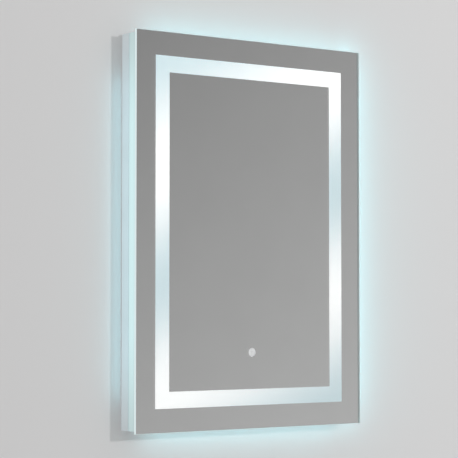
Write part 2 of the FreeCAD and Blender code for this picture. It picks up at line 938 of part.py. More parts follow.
def driver_screw_centres():
    across = (DRIVER_LENGTH + EAR_LENGTH) / 2
    return [(-across, DRIVER_LEVEL), (across, DRIVER_LEVEL)]


def make_driver():
    """The LED driver: a case with two ears, a lid, and a circuit board on four posts."""
    centre = (0, DRIVER_LEVEL)
    case = open_case("driver_case", centre, DRIVER_LENGTH, DRIVER_WIDTH)
    ears = plate_sketch(case, pan_front)
    for ear_centre in driver_screw_centres():
        add_centred(ears, EAR_LENGTH, EAR_WIDTH, ear_centre)
        add_circle(ears, ear_centre, DRIVER_SCREW_RADIUS + HOLE_PLAY)
    pad(case, ears, EAR_THICK)
    posts = plate_sketch(case, pan_front + CASE_WALL)
    for x in (-BOARD_POST_ACROSS, BOARD_POST_ACROSS):
        for z in (DRIVER_LEVEL - BOARD_POST_UP, DRIVER_LEVEL + BOARD_POST_UP):
            add_centred(posts, BOARD_POST_WIDTH, BOARD_POST_WIDTH, (x, z))
    pad(case, posts, BOARD_POST_HEIGHT)
    case_lid("driver_lid", centre, DRIVER_LENGTH, DRIVER_WIDTH)
    make_driver_board()


def make_driver_board():
    """The driver's circuit board, with its transformer and two capacitors. Each capacitor is given as
    (place along the board, place above the board's middle, radius)."""
    board = new_body("driver_board")
    seat = pan_front + CASE_WALL + BOARD_POST_HEIGHT
    outline = plate_sketch(board, seat)
    add_centred(outline, BOARD_LENGTH, BOARD_WIDTH, (0, DRIVER_LEVEL))
    pad(board, outline, BOARD_THICK)
    transformer = plate_sketch(board, seat)
    add_centred(transformer, TRANSFORMER_LENGTH, TRANSFORMER_WIDTH, (TRANSFORMER_X, DRIVER_LEVEL))
    pad(board, transformer, TRANSFORMER_DEPTH)
    capacitors = plate_sketch(board, seat)
    for x, up, radius in CAPACITORS:
        add_circle(capacitors, (x, DRIVER_LEVEL + up), radius)
    pad(board, capacitors, CAPACITOR_DEPTH)


# ---------------------------------------------------------------- touch switch


SENSOR_WIDTH = 44
SENSOR_HEIGHT = 28
SENSOR_DEPTH = 9
SENSOR_WALL = 1.2
SENSOR_BOARD_PLAY = 0.2
SENSOR_BOARD_THICK = 1.2
CHIP_X = -14
CHIP_WIDTH = 6
CHIP_HEIGHT = 5
CHIP_DEPTH = 2.6
LIGHT_PIPE_LENGTH = 5
LIGHT_PIPE_PLAY = 0.02


def make_touch_switch():
    """The touch switch behind the clear spot. It senses a finger through the glass and nothing in it
    moves: a small case, a circuit board, and a light pipe that fills the spot."""
    centre = (0, touch_centre())
    silver_back = glass_back - size.silvering_thick
    case_back = silver_back - SENSOR_DEPTH
    inside_width = SENSOR_WIDTH - SENSOR_WALL * 2
    inside_height = SENSOR_HEIGHT - SENSOR_WALL * 2
    board_play = SENSOR_BOARD_PLAY * 2
    case = new_body("touch_sensor_case")
    outline = plate_sketch(case, case_back)
    add_centred(outline, SENSOR_WIDTH, SENSOR_HEIGHT, centre)
    pad(case, outline, SENSOR_DEPTH)
    cavity = plate_sketch(case, case_back + SENSOR_WALL)
    add_centred(cavity, inside_width, inside_height, centre)
    pocket(case, cavity, SENSOR_DEPTH)

    board = new_body("touch_sensor_board")
    outline = plate_sketch(board, case_back + SENSOR_WALL)
    add_centred(outline, inside_width - board_play, inside_height - board_play, centre)
    pad(board, outline, SENSOR_BOARD_THICK)
    chip = plate_sketch(board, case_back + SENSOR_WALL)
    add_centred(chip, CHIP_WIDTH, CHIP_HEIGHT, (CHIP_X, touch_centre()))
    pad(board, chip, CHIP_DEPTH)

    spot = new_body("touch_spot_lens")
    disc = plate_sketch(spot, silver_back - LIGHT_PIPE_LENGTH)
    add_circle(disc, centre, size.touch_spot_radius - LIGHT_PIPE_PLAY)
    pad(spot, disc, LIGHT_PIPE_LENGTH + size.silvering_thick)


# ---------------------------------------------------------------- leads


MAINS_LEAD_X = 48
SENSOR_LEAD_X = -18
BAND_LEAD_HEIGHT = 98
HALO_LEAD_HEIGHT = 82
LEAD_LIFT = 6
lead_off_wall = pan_front + LEAD_LIFT
halo_lead_behind = halo_strip_front + size.strip_width / 2


def rounded_path(points):
    """Straight runs through the points, joined by arcs that take up a share of the shorter run."""
    share = 0.4
    edges = []
    start = points[0]
    for before, corner, after in zip(points, points[1:], points[2:]):
        reach = share * min((corner - before).Length, (after - corner).Length)
        incoming = (corner - before).normalize()
        outgoing = (after - corner).normalize()
        entry = corner - incoming * reach
        leave = corner + outgoing * reach
        half_turn = incoming.getAngle(outgoing) / 2
        radius = reach / math.tan(half_turn)
        inwards = (outgoing - incoming).normalize()
        middle = corner + inwards * (radius / math.cos(half_turn) - radius)
        edges.append(Part.makeLine(start, entry))
        edges.append(Part.Arc(entry, middle, leave).toShape())
        start = leave
    edges.append(Part.makeLine(start, points[-1]))
    return Part.Wire(edges)


def flat_lead(label, points, flat_direction):
    """A flat two-core lead, bent in one plane only. Each point is (x, distance off the wall, height
    above the mirror's centre), and the lead's flat side lies along flat_direction."""
    places = []
    for x, off_wall, height in points:
        places.append(Vector(as_size(x).number, -off_wall.number, as_size(height).number))
    heading = (places[1] - places[0]).normalize()
    flat = flat_direction * (size.lead_width.number / 2)
    thin = heading.cross(flat_direction) * (size.lead_thick.number / 2)
    corners = [places[0] + flat + thin, places[0] + flat - thin]
    corners += [places[0] - flat - thin, places[0] - flat + thin]
    section = Part.makePolygon(corners + corners[:1])
    group = doc.addObject("Part::Feature", label)
    group.Label = label
    group.Shape = rounded_path(places).makePipeShell([section], True, False)
    bind(group, "Placement.Base.z", centre_height)
    sub_parts.append(group)


def bend_between(start, end, start_off_wall, end_off_wall, place_at):
    """Points of a lead that runs from start to end and changes its distance off the wall midway.
    place_at turns (distance along, distance off the wall) into a point."""
    start = as_size(start)
    run = end - start
    return [
        place_at(start, start_off_wall),
        place_at(start + run * 0.35, start_off_wall),
        place_at(start + run * 0.65, end_off_wall),
        place_at(end, end_off_wall),
    ]


def make_leads():
    """The four leads that join the driver to the mains side, the LED strips and the touch switch."""
    driver_bottom = DRIVER_LEVEL - DRIVER_WIDTH / 2
    driver_left = -DRIVER_LENGTH / 2
    along_x = Vector(1, 0, 0)
    along_z = Vector(0, 0, 1)
    mains_ends = (BOX_HEIGHT / 2, driver_bottom)
    mains_points = [(MAINS_LEAD_X, lead_off_wall, height) for height in mains_ends]
    flat_lead("mains_link_lead", mains_points, along_x)

    sensor_off_wall = glass_back - SENSOR_DEPTH / 2
    sensor_top = touch_centre() + SENSOR_HEIGHT / 2
    sensor_points = bend_between(
        driver_bottom,
        sensor_top,
        lead_off_wall,
        sensor_off_wall,
        lambda height, off_wall: (SENSOR_LEAD_X, off_wall, height),
    )
    flat_lead("sensor_lead", sensor_points, along_x)

    band_light = web_inner + size.strip_thick + size.light_height
    strip_leads = (
        ("band_lead", BAND_LEAD_HEIGHT, band_light, band_strip_front),
        ("halo_lead", HALO_LEAD_HEIGHT, web_outer, halo_strip_front),
    )
    for label, lead_height, end_margin, strip_front in strip_leads:
        points = bend_between(
            driver_left,
            end_margin - half_width,
            lead_off_wall,
            glass_back - strip_front - size.strip_width / 2,
            lambda x, off_wall: (x, off_wall, lead_height),
        )
        flat_lead(label, points, along_z)


# ---------------------------------------------------------------- the whole mirror


def build():
    make_mirror_glass()
    make_silvering()
    make_band_diffusers()
    make_bonding_tape()
    make_frame_rails()
    make_corner_keys()
    make_halo_lenses()
    make_led_strips()
    make_back_pan()
    make_fasteners()
    make_wall_rail()
    make_hook_rail()
    make_wall_bumpers()
    make_cable_gland()
    make_terminal_box()
    make_terminal_block()
    make_driver()
    make_touch_switch()
    make_leads()


def check_and_export():
    """Stops at any failed object, and otherwise writes one file for each sub-part."""
    doc.recompute()
    failed = [item.Label for item in doc.Objects if {"Invalid", "Error"} & set(item.State)]
    if failed:
        raise RuntimeError(f"these objects failed to build: {failed}")
    for part in sub_parts:
        if part.Shape.isNull() or not part.Shape.isValid():
            raise RuntimeError(f"{part.Label} has no valid shape")
    os.makedirs(OUTPUT_FOLDER, exist_ok=True)
    for part in sub_parts:
        part.Shape.exportStep(f"{OUTPUT_FOLDER}/{part.Label}.step")
    print(f"{len(sub_parts)} sub-parts written")


build()
check_and_export()
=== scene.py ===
import math

import bmesh
import bpy
from mathutils import Matrix, Vector


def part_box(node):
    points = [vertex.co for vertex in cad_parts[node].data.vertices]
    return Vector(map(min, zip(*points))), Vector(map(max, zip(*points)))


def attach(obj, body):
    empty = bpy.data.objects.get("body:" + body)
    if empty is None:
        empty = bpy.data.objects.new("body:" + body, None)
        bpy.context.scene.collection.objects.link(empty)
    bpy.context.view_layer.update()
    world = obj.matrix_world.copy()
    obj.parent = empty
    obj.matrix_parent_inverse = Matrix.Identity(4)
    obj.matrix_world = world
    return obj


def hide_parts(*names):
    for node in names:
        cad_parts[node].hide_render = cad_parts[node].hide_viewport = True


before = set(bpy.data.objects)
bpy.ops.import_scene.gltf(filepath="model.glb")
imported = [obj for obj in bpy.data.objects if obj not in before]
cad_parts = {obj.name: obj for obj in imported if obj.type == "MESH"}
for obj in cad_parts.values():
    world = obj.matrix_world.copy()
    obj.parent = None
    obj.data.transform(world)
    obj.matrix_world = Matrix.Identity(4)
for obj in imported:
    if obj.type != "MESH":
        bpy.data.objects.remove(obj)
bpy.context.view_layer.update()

# The lighted mirror on a bathroom wall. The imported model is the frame: -Y is towards the viewer, +Z is
# up, and the wall is at y = 0. Lengths are in metres, and small ones are written as a number of MM.

MM = 0.001
SIDES = ("top", "right", "bottom", "left")
OUTWARDS = {"top": (0, 1), "right": (1, 0), "bottom": (0, -1), "left": (-1, 0)}
LENGTHWAYS = {"top": "X", "right": "Z", "bottom": "X", "left": "Z"}
BODY = "mirror_unit"


def corners_of(node):
    """The low corner and the high corner of a CAD node's box."""
    return [Vector(corner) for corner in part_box(node)]


glass_low, glass_high = corners_of("mirror_glass")
glass_centre = (glass_low + glass_high) / 2
glass_width = glass_high.x - glass_low.x
glass_height = glass_high.z - glass_low.z
glass_back = glass_high.y


# ---------------------------------------------------------------- material helpers


# Noise seldom goes below the first of these values or above the second.
NOISE_LOW = 0.3
NOISE_HIGH = 0.7

# Places of the colour sockets on a mix node, where several sockets have the same name.
MIX_FACTOR = 0
MIX_FIRST = 6
MIX_SECOND = 7
MIX_RESULT = 2


def new_material(name):
    """An empty node material and its node tree."""
    material = bpy.data.materials.new(name)
    material.use_nodes = True
    material.node_tree.nodes.clear()
    return material, material.node_tree


def feed(tree, socket, value):
    """Links a socket to another node's output, or sets it to a number or a colour."""
    if isinstance(value, bpy.types.NodeSocket):
        tree.links.new(value, socket)
    else:
        socket.default_value = value


def add(tree, kind, inputs=None, **settings):
    """A node with its settings and with what feeds its inputs."""
    node = tree.nodes.new(kind)
    for name, value in settings.items():
        setattr(node, name, value)
    for key, value in (inputs or {}).items():
        feed(tree, node.inputs[key], value)
    return node


def surface(tree, shader):
    """Ends a material with this shader."""
    add(tree, "ShaderNodeOutputMaterial", {"Surface": shader})


def principled(tree, inputs):
    """The shader that all these materials are made with."""
    return add(tree, "ShaderNodeBsdfPrincipled", inputs).outputs["BSDF"]


def mix_shaders(tree, fac, first, second):
    """first where fac is 0 and second where it is 1."""
    return add(tree, "ShaderNodeMixShader", {"Fac": fac, 1: first, 2: second}).outputs["Shader"]


def place(tree, stretch=(1, 1, 1)):
    """The position on the object in metres, scaled along each axis."""
    coordinates = add(tree, "ShaderNodeTexCoord")
    mapping = add(
        tree, "ShaderNodeMapping", {"Vector": coordinates.outputs["Object"], "Scale": stretch}
    )
    return mapping.outputs["Vector"]


def axis(tree, letter):
    """One coordinate of the position on the object, in metres."""
    split = add(tree, "ShaderNodeSeparateXYZ", {"Vector": place(tree)})
    return split.outputs[letter]


def noise(tree, size, stretch=(1, 1, 1), detail=3):
    """Grey noise from 0 to 1 whose patches are about size metres across."""
    texture = add(
        tree,
        "ShaderNodeTexNoise",
        {"Vector": place(tree, stretch), "Scale": 1 / size, "Detail": detail},
    )
    return texture.outputs["Fac"]


def grey(value):
    """A grey as an opaque colour."""
    return (value, value, value, 1)


def ramp(tree, fac, stops):
    """Colours or greys along fac. Each stop is (place, colour)."""
    node = add(tree, "ShaderNodeValToRGB", {"Fac": fac})
    band = node.color_ramp
    while len(band.elements) < len(stops):
        band.elements.new(0.5)
    for element, (position, colour) in zip(band.elements, stops):
        element.position = position
        element.color = grey(colour) if isinstance(colour, (int, float)) else (*colour, 1)
    return node.outputs["Color"]


def darker(colour, share):
    """A colour with only this share of its brightness."""
    return tuple(channel * share for channel in colour)


def mottled(tree, pattern, first, second):
    """A colour or grey that wavers with a noise pattern, from first where it is low to second."""
    return ramp(tree, pattern, [(NOISE_LOW, first), (NOISE_HIGH, second)])


def mix_colours(tree, fac, first, second, blend_type="MIX"):
    """first where fac is 0. Where it is 1, second, or what the blend type makes of the two."""
    inputs = {MIX_FACTOR: fac, MIX_FIRST: first, MIX_SECOND: second}
    node = add(tree, "ShaderNodeMix", inputs, data_type="RGBA", blend_type=blend_type)
    return node.outputs[MIX_RESULT]


def bump(tree, height, depth):
    """A normal from a height of 0 to 1, where 1 stands depth metres above 0."""
    node = add(tree, "ShaderNodeBump", {"Height": height, "Distance": depth, "Strength": 1})
    return node.outputs["Normal"]


def maths(tree, operation, *values):
    """The result of an operation on numbers or node outputs."""
    node = add(tree, "ShaderNodeMath", operation=operation)
    for socket, value in zip(node.inputs, values):
        feed(tree, socket, value)
    return node.outputs["Value"]


def distance(tree, letter, centre):
    """How far the position is from a coordinate on one axis, in metres."""
    return maths(tree, "ABSOLUTE", maths(tree, "SUBTRACT", axis(tree, letter), centre))


def stepped(tree, value, start, end):
    """0 up to start and 1 from end on, with a straight rise between."""
    node = add(
        tree,
        "ShaderNodeMapRange",
        {"Value": value, "From Min": start, "From Max": end},
        clamp=True,
    )
    return node.outputs["Result"]


def paint(node, material):
    """Gives a CAD node, which keeps its shape, its material."""
    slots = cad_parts[node].material_slots
    if slots:
        for material_slot in slots:
            material_slot.material = material
    else:
        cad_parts[node].data.materials.append(material)


# ---------------------------------------------------------------- camera


# Yaw is how far right of +Y the camera looks, and pitch how far up, in degrees.
CAMERA_PLACE = (-1.8564, -2.5637, -0.3506)
CAMERA_YAW = 35.708
CAMERA_PITCH = 2.558
CAMERA_FOCAL_PIXELS = 1732
CAMERA_SENSOR = 36
CAMERA_REACH = 100
PHOTO_PIXELS = 458


def use_plain_colours():
    """The render's colours as they are, with no film look."""
    bpy.context.scene.view_settings.view_transform = "Standard"


def aim_camera():
    """The camera at the photograph's place."""
    data = bpy.data.cameras.new("camera")
    data.sensor_width = CAMERA_SENSOR
    data.lens = CAMERA_FOCAL_PIXELS / PHOTO_PIXELS * CAMERA_SENSOR
    data.clip_end = CAMERA_REACH
    camera = bpy.data.objects.new("camera", data)
    bpy.context.scene.collection.objects.link(camera)
    yaw = math.radians(CAMERA_YAW)
    pitch = math.radians(CAMERA_PITCH)
    heading = Vector(
        (math.sin(yaw) * math.cos(pitch), math.cos(yaw) * math.cos(pitch), math.sin(pitch))
    )
    camera.rotation_euler = heading.to_track_quat("-Z", "Y").to_euler()
    camera.location = CAMERA_PLACE
    bpy.context.scene.camera = camera


# ---------------------------------------------------------------- wall and floor


# The wall's painted shade on the left goes over to its painted light on the right within WALL_FADE
# metres of the mirror's middle line.
WALL_LEFT_PAINTED_SHADE = (0.72, 0.715, 0.715)
WALL_RIGHT_PAINTED_LIGHT = (0.795, 0.79, 0.79)
WALL_FADE = 0.5
WALL_PLACE = 0.1 * MM
FLOOR_DARK = (0.63, 0.63, 0.63)
FLOOR_PALE = (0.66, 0.66, 0.66)
FLOOR_HEIGHT = -1.5
STAGE_REACH = 6


def stage_plane(name, corners, material):
    """A flat piece of the room, which isn't part of the object."""
    mesh = bpy.data.meshes.new(name)
    mesh.from_pydata(corners, [], [(0, 1, 2, 3)])
    mesh.materials.append(material)
    plane = bpy.data.objects.new(name, mesh)
    bpy.context.scene.collection.objects.link(plane)
    return plane


def wall_paint():
    """Matt paint with a roller's grain, with painted light that makes it a little paler to the right.
    From behind it can't be seen.
    """
    material, tree = new_material("painted_wall")
    roller = noise(tree, 1.5 * MM, detail=2)
    # Painted light and shade: the wall's colour grows paler from left to right.
    rightwards = stepped(tree, axis(tree, "X"), -WALL_FADE, WALL_FADE)
    front = principled(
        tree,
        {
            "Base Color": ramp(tree, rightwards, [(0, WALL_LEFT_PAINTED_SHADE), (1, WALL_RIGHT_PAINTED_LIGHT)]),
            "Roughness": 0.7,
            "Normal": bump(tree, roller, 0.03 * MM),
        },
    )
    from_behind = add(tree, "ShaderNodeNewGeometry").outputs["Backfacing"]
    clear = add(tree, "ShaderNodeBsdfTransparent").outputs["BSDF"]
    surface(tree, mix_shaders(tree, from_behind, front, clear))
    return material


def make_wall():
    """The wall, a hair behind the wall rail. It throws no shadow and is in no reflection, so that the
    mirror's back is lit when it is looked at from behind."""
    left, right = -STAGE_REACH, STAGE_REACH
    corners = [(left, FLOOR_HEIGHT), (right, FLOOR_HEIGHT), (right, STAGE_REACH), (left, STAGE_REACH)]
    wall = stage_plane("wall", [(x, WALL_PLACE, z) for x, z in corners], wall_paint())
    wall.visible_shadow = False
    wall.visible_diffuse = False
    wall.visible_glossy = False
    return wall


def make_floor():
    """A pale floor with faint patches."""
    material, tree = new_material("pale_floor")
    patches = noise(tree, 0.3, detail=4)
    colour = mottled(tree, patches, FLOOR_DARK, FLOOR_PALE)
    surface(tree, principled(tree, {"Base Color": colour, "Roughness": 0.6}))
    near, far = -STAGE_REACH, STAGE_REACH
    corners = [(near, near), (far, near), (far, far), (near, far)]
    stage_plane("floor", [(x, y, FLOOR_HEIGHT) for x, y in corners], material)


# ---------------------------------------------------------------- lamps


# The key lamp's direction from the mirror is in degrees right of the viewer's side and up.
KEY_RIGHT = 15.5
KEY_UP = 11.7
KEY_DISTANCE = 8
KEY_SIZE = 0.4
KEY_WATTS = 115


def add_area_light(name, location, target, width, height, power, colour=(1, 1, 1)):
    """A rectangular lamp that faces target, with its width level."""
    data = bpy.data.lights.new(name, "AREA")
    data.shape = "RECTANGLE"
    data.size = width
    data.size_y = height
    data.energy = power
    data.color = colour
    lamp = bpy.data.objects.new(name, data)
    lamp.location = location
    heading = Vector(target) - Vector(location)
    lamp.rotation_euler = heading.to_track_quat("-Z", "Y").to_euler()
    bpy.context.scene.collection.objects.link(lamp)
    return lamp


def aim_with_length_up(heading):
    """The turn of a lamp that faces heading with its width upright."""
    length = Vector((0, 0, 1))
    across = length.cross(heading)
    return Matrix((length, across, -heading)).transposed().to_euler()


def add_key_lamp():
    """The one lamp that casts the mirror's shadow on the wall, down and to the left."""
    right = math.radians(KEY_RIGHT)
    up = math.radians(KEY_UP)
    away = Vector((math.sin(right) * math.cos(up), -math.cos(right) * math.cos(up), math.sin(up)))
    centre = Vector((glass_centre.x, 0, glass_centre.z))
    add_area_light("key_lamp", centre + away * KEY_DISTANCE, centre, KEY_SIZE, KEY_SIZE, KEY_WATTS)


# A lens lamp stands outside its lens by a gap, and nearer to the wall than the lens's middle by another
# length. It faces the wall, but for a tilt outwards in degrees. Its ends are how far it stops short of
# the lens's lower or left end and of its other end, or goes past it where the length is negative.
LENS_LAMP_WIDTH = 8 * MM
HALO_COLOUR = {
    "top": (0.3, 0.9, 1.0),
    "right": (0.3, 0.9, 1.0),
    "bottom": (0.45, 0.92, 1.0),
    "left": (0.4, 0.88, 1.0),
}
HALO_GAP = 5 * MM
HALO_TOWARDS_WALL = {"top": 0, "right": 0, "bottom": 0, "left": 10 * MM}
HALO_TILT = {"top": 20, "right": 60, "bottom": 15, "left": 0}
HALO_ENDS = {
    "top": (50 * MM, -15 * MM),
    "right": (5 * MM, -8 * MM),
    "bottom": (50 * MM, 0),
    "left": (55 * MM, 75 * MM),
}
HALO_WATTS_PER_METRE = {"top": 0.09, "right": 0.29, "bottom": 0.115, "left": 0.05}
SIDE_LAMP_GAP = 60 * MM
SIDE_LAMP_TOWARDS_WALL = 10 * MM
SIDE_LAMP_TILT = -90
SIDE_LAMP_ENDS = (60 * MM, 60 * MM)
SIDE_LAMP_WATTS_PER_METRE = 0.125


def add_lens_lamp(name, side, gap, towards_wall, tilt, ends, watts_per_metre):
    """A long lamp beside a halo lens."""
    low, high = corners_of(f"halo_lens_{side}")
    out_x, out_z = OUTWARDS[side]
    outwards = Vector((out_x, 0, out_z))
    along = Vector((abs(out_z), 0, abs(out_x)))
    half = (high - low) / 2
    near_end, far_end = ends
    location = low + half + outwards * (abs(half.dot(outwards)) + gap)
    location += along * (near_end - far_end) / 2
    location.y += towards_wall
    turn = math.radians(tilt)
    heading = outwards * math.sin(turn) + Vector((0, math.cos(turn), 0))
    length = half.dot(along) * 2 - near_end - far_end
    lamp = add_area_light(
        name,
        location,
        location + heading,
        length,
        LENS_LAMP_WIDTH,
        watts_per_metre * length,
        HALO_COLOUR[side],
    )
    lamp.visible_camera = False
    if LENGTHWAYS[side] == "Z":
        lamp.rotation_euler = aim_with_length_up(heading)
    return lamp


def shine_only_on(lamp, objects):
    """Keeps a lamp's light off everything but these objects."""
    receivers = bpy.data.collections.new(f"{lamp.name}_receivers")
    for receiver in objects:
        receivers.objects.link(receiver)
    lamp.light_linking.receiver_collection = receivers


def add_halo_lamps(wall):
    """The glow on the wall round the mirror."""
    for side in SIDES:
        lamp = add_lens_lamp(
            f"halo_lamp_{side}",
            side,
            HALO_GAP,
            HALO_TOWARDS_WALL[side],
            HALO_TILT[side],
            HALO_ENDS[side],
            HALO_WATTS_PER_METRE[side],
        )
        shine_only_on(lamp, [wall])


def add_side_lamp():
    """The light on the mirror's left side, which the camera sees."""
    lamp = add_lens_lamp(
        "side_lamp",
        "left",
        SIDE_LAMP_GAP,
        SIDE_LAMP_TOWARDS_WALL,
        SIDE_LAMP_TILT,
        SIDE_LAMP_ENDS,
        SIDE_LAMP_WATTS_PER_METRE,
    )
    shine_only_on(lamp, [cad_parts["frame_rail_left"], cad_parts["halo_lens_left"]])


# ---------------------------------------------------------------- the room's light


# Each pair is a stretch of a ray's direction, on one axis, along which one brightness goes over to
# another.
ROOM_LIGHT = 0.7
REFLECTED_DARK = 0.252
REFLECTED_LIGHT = 0.46
REFLECTED_ACROSS = (0.53, 0.65)
REFLECTED_DOWN = (0.16, -0.08)
REFLECTED_RIGHT_SHARE = 0.35
BEHIND_WALL = (-0.2, 0.2)


def make_room_light():
    """Even light from all round, and for the mirror a room that grows lighter to the lower right.
    Behind the wall the reflected light is as bright as the rest, for the steel on the back."""
    world = bpy.data.worlds.new("room")
    bpy.context.scene.world = world
    world.use_nodes = True
    tree = world.node_tree
    tree.nodes.clear()
    coordinates = add(tree, "ShaderNodeTexCoord")
    split = add(tree, "ShaderNodeSeparateXYZ", {"Vector": coordinates.outputs["Generated"]})
    rightwards = stepped(tree, split.outputs["X"], *REFLECTED_ACROSS)
    downwards = stepped(tree, split.outputs["Z"], *REFLECTED_DOWN)
    across = maths(tree, "MULTIPLY", rightwards, REFLECTED_RIGHT_SHARE)
    down = maths(tree, "MULTIPLY", downwards, 1 - REFLECTED_RIGHT_SHARE)
    lower_right = maths(tree, "ADD", across, down)
    in_front = ramp(tree, lower_right, [(0, REFLECTED_DARK), (1, REFLECTED_LIGHT)])
    behind = stepped(tree, split.outputs["Y"], *BEHIND_WALL)
    seen = mix_colours(tree, behind, in_front, grey(ROOM_LIGHT))
    rays = add(tree, "ShaderNodeLightPath")
    mirrored = maths(
        tree, "MAXIMUM", rays.outputs["Is Glossy Ray"], rays.outputs["Is Transmission Ray"]
    )
    colour = mix_colours(tree, mirrored, grey(ROOM_LIGHT), seen)
    background = add(tree, "ShaderNodeBackground", {"Color": colour, "Strength": 1.0})
    add(tree, "ShaderNodeOutputWorld", {"Surface": background.outputs["Background"]})


# ---------------------------------------------------------------- glass and silver


# The plate's front and back are the faces whose normal has more than MAIN_FACE_NORMAL along Y. The two
# depths are behind the glass, and between them the silver goes over to its backing paint.
GLASS_GAP = 0.03 * MM
ARRIS = 0.6 * MM
ARRIS_STEPS = 3
MAIN_FACE_NORMAL = 0.99
# The strength of the polished edge's painted glow, seen from outside the plate and from inside it.
PAINTED_EDGE_GLOW = 0.31
PAINTED_EDGE_GLOW_INSIDE = 0.2
SILVER_DEPTH = 0.05 * MM
PAINT_DEPTH = 0.06 * MM


def clear_glass():
    """Clear float glass. Faint wipe marks show only in how rough the gloss is."""
    material, tree = new_material("clear_glass")
    wipes = noise(tree, 30 * MM, (1, 1, 0.3), detail=4)
    shader = principled(
        tree,
        {
            "Base Color": (0.985, 0.99, 0.987, 1),
            "Transmission Weight": 1.0,
            "IOR": 1.5,
            "Roughness": ramp(tree, wipes, [(0.45, 0.0), (0.8, 0.012)]),
        },
    )
    surface(tree, shader)
    return material


def polished_edge():
    """The plate's ground and polished edge, with a painted pale green-blue glow that stands in for the
    light inside the glass. The painted glow is dimmer, and the edge darker, where it is seen from
    inside, through the plate's face."""
    material, tree = new_material("polished_edge")
    grind = noise(tree, 0.4 * MM, (1, 0.1, 1))
    painted_glow = mottled(tree, grind, (0.7, 0.83, 0.84), (0.82, 0.92, 0.93))
    # Painted shade seen from inside the plate: the edge is darker and its painted glow dimmer.
    inside = add(tree, "ShaderNodeNewGeometry").outputs["Backfacing"]
    shader = principled(
        tree,
        {
            "Base Color": mix_colours(tree, inside, painted_glow, (0.6, 0.65, 0.65, 1)),
            "Roughness": mottled(tree, grind, 0.12, 0.25),
            "Emission Color": painted_glow,
            "Emission Strength": ramp(tree, inside, [(0, PAINTED_EDGE_GLOW), (1, PAINTED_EDGE_GLOW_INSIDE)]),
            "Normal": bump(tree, grind, 0.01 * MM),
        },
    )
    surface(tree, shader)
    return material


def silver():
    """Silver towards the glass, and grey backing paint on its back and edges."""
    material, tree = new_material("silver")
    clouds = noise(tree, 80 * MM)
    reflection = principled(
        tree,
        {
            "Base Color": mottled(tree, clouds, (0.94, 0.935, 0.935), (0.96, 0.955, 0.955)),
            "Metallic": 1.0,
            "Roughness": 0.0,
        },
    )
    brush = noise(tree, 2 * MM, (1, 1, 0.1))
    backing = principled(
        tree,
        {
            "Base Color": mottled(tree, brush, (0.2, 0.21, 0.22), (0.26, 0.27, 0.28)),
            "Roughness": 0.6,
            "Normal": bump(tree, brush, 0.02 * MM),
        },
    )
    to_back = stepped(tree, axis(tree, "Y"), glass_back + SILVER_DEPTH, glass_back + PAINT_DEPTH)
    surface(tree, mix_shaders(tree, to_back, reflection, backing))
    return material


def make_glass_plate():
    """The glass plate with rounded arrises. Its back stays clear of the silver by a hair."""
    mesh = bpy.data.meshes.new("glass_plate")
    shape = bmesh.new()
    bmesh.ops.create_cube(shape, size=1)
    thick = glass_high.y - glass_low.y - GLASS_GAP
    size = Matrix.Diagonal((glass_width, thick, glass_height, 1))
    middle = Vector((glass_centre.x, glass_low.y + thick / 2, glass_centre.z))
    bmesh.ops.transform(shape, matrix=Matrix.Translation(middle) @ size, verts=shape.verts)
    face_edges = [edge for edge in shape.edges if abs(edge.verts[0].co.y - edge.verts[1].co.y) < MM]
    bmesh.ops.bevel(
        shape, geom=face_edges, offset=ARRIS, segments=ARRIS_STEPS, profile=0.5, affect="EDGES"
    )
    shape.normal_update()
    for face in shape.faces:
        face.material_index = 0 if abs(face.normal.y) > MAIN_FACE_NORMAL else 1
    shape.to_mesh(mesh)
    shape.free()
    plate = bpy.data.objects.new("glass_plate", mesh)
    bpy.context.scene.collection.objects.link(plate)
    mesh.materials.append(clear_glass())
    mesh.materials.append(polished_edge())
    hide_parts("mirror_glass")
    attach(plate, BODY)


# ---------------------------------------------------------------- what shines


# A wave of the band's painted sheen is measured upwards, its slope is rise over run, and the fade is
# how much light the band gains in each metre up. A lens's core is half the width of its brightest line,
# and its fade is the stretch before each end where it dims. The spot's tones go from its core out to its
# radius.
SHEEN_WAVE_LENGTH = 0.4
SHEEN_WAVE_SLOPE = 0.455
WAVE_FADE = 0.33
BAND_PALE = (0.525, 0.66, 0.7)
BAND_SHEEN_WHITE = (1.0, 1.01, 1.01)
LENS_PALE = (0.62, 0.87, 0.86)
LENS_DEEP = (0.52, 0.74, 0.74)
LENS_CORE = 2 * MM
LENS_FADE = 0.16
LENS_STRENGTH = 0.59
LENS_END_STRENGTH = 0.44
SPOT_CORE = 2 * MM
SPOT_RADIUS = 8 * MM
SPOT_TONES = [(0, (0.57, 0.58, 0.59)), (0.5, (0.69, 0.7, 0.71)), (1, (0.5, 0.51, 0.52))]
SPOT_STRENGTH = 0.79


def band_light():
    """The opal strips behind the frosted band. They shine pale cyan, with a painted sheen of white in
    slow slanting waves over their light, and with the sparkle of blasted glass."""
    material, tree = new_material("band_light")
    across = maths(tree, "SUBTRACT", axis(tree, "X"), glass_centre.x)
    up = maths(tree, "SUBTRACT", axis(tree, "Z"), glass_centre.z)
    # Painted sheen: slanting waves of white over the band's pale cyan light.
    slanting = maths(tree, "SUBTRACT", up, maths(tree, "MULTIPLY", across, SHEEN_WAVE_SLOPE))
    painted_sheen_wave = maths(tree, "COSINE", maths(tree, "MULTIPLY", slanting, 2 * math.pi / SHEEN_WAVE_LENGTH))
    share = maths(tree, "SUBTRACT", 0.5, maths(tree, "MULTIPLY", painted_sheen_wave, 0.5))
    tone = ramp(tree, share, [(0, BAND_PALE), (1, BAND_SHEEN_WHITE)])
    sparkle = noise(tree, 0.5 * MM, detail=2)
    grain = mottled(tree, sparkle, 0.97, 1.0)
    shader = principled(
        tree,
        {
            "Base Color": (0.3, 0.31, 0.31, 1),
            "Roughness": 0.5,
            "Emission Color": mix_colours(tree, 1.0, tone, grain, "MULTIPLY"),
            "Emission Strength": maths(tree, "ADD", 1.0, maths(tree, "MULTIPLY", slanting, WAVE_FADE)),
            "Normal": bump(tree, sparkle, 0.02 * MM),
        },
    )
    surface(tree, shader)
    return material


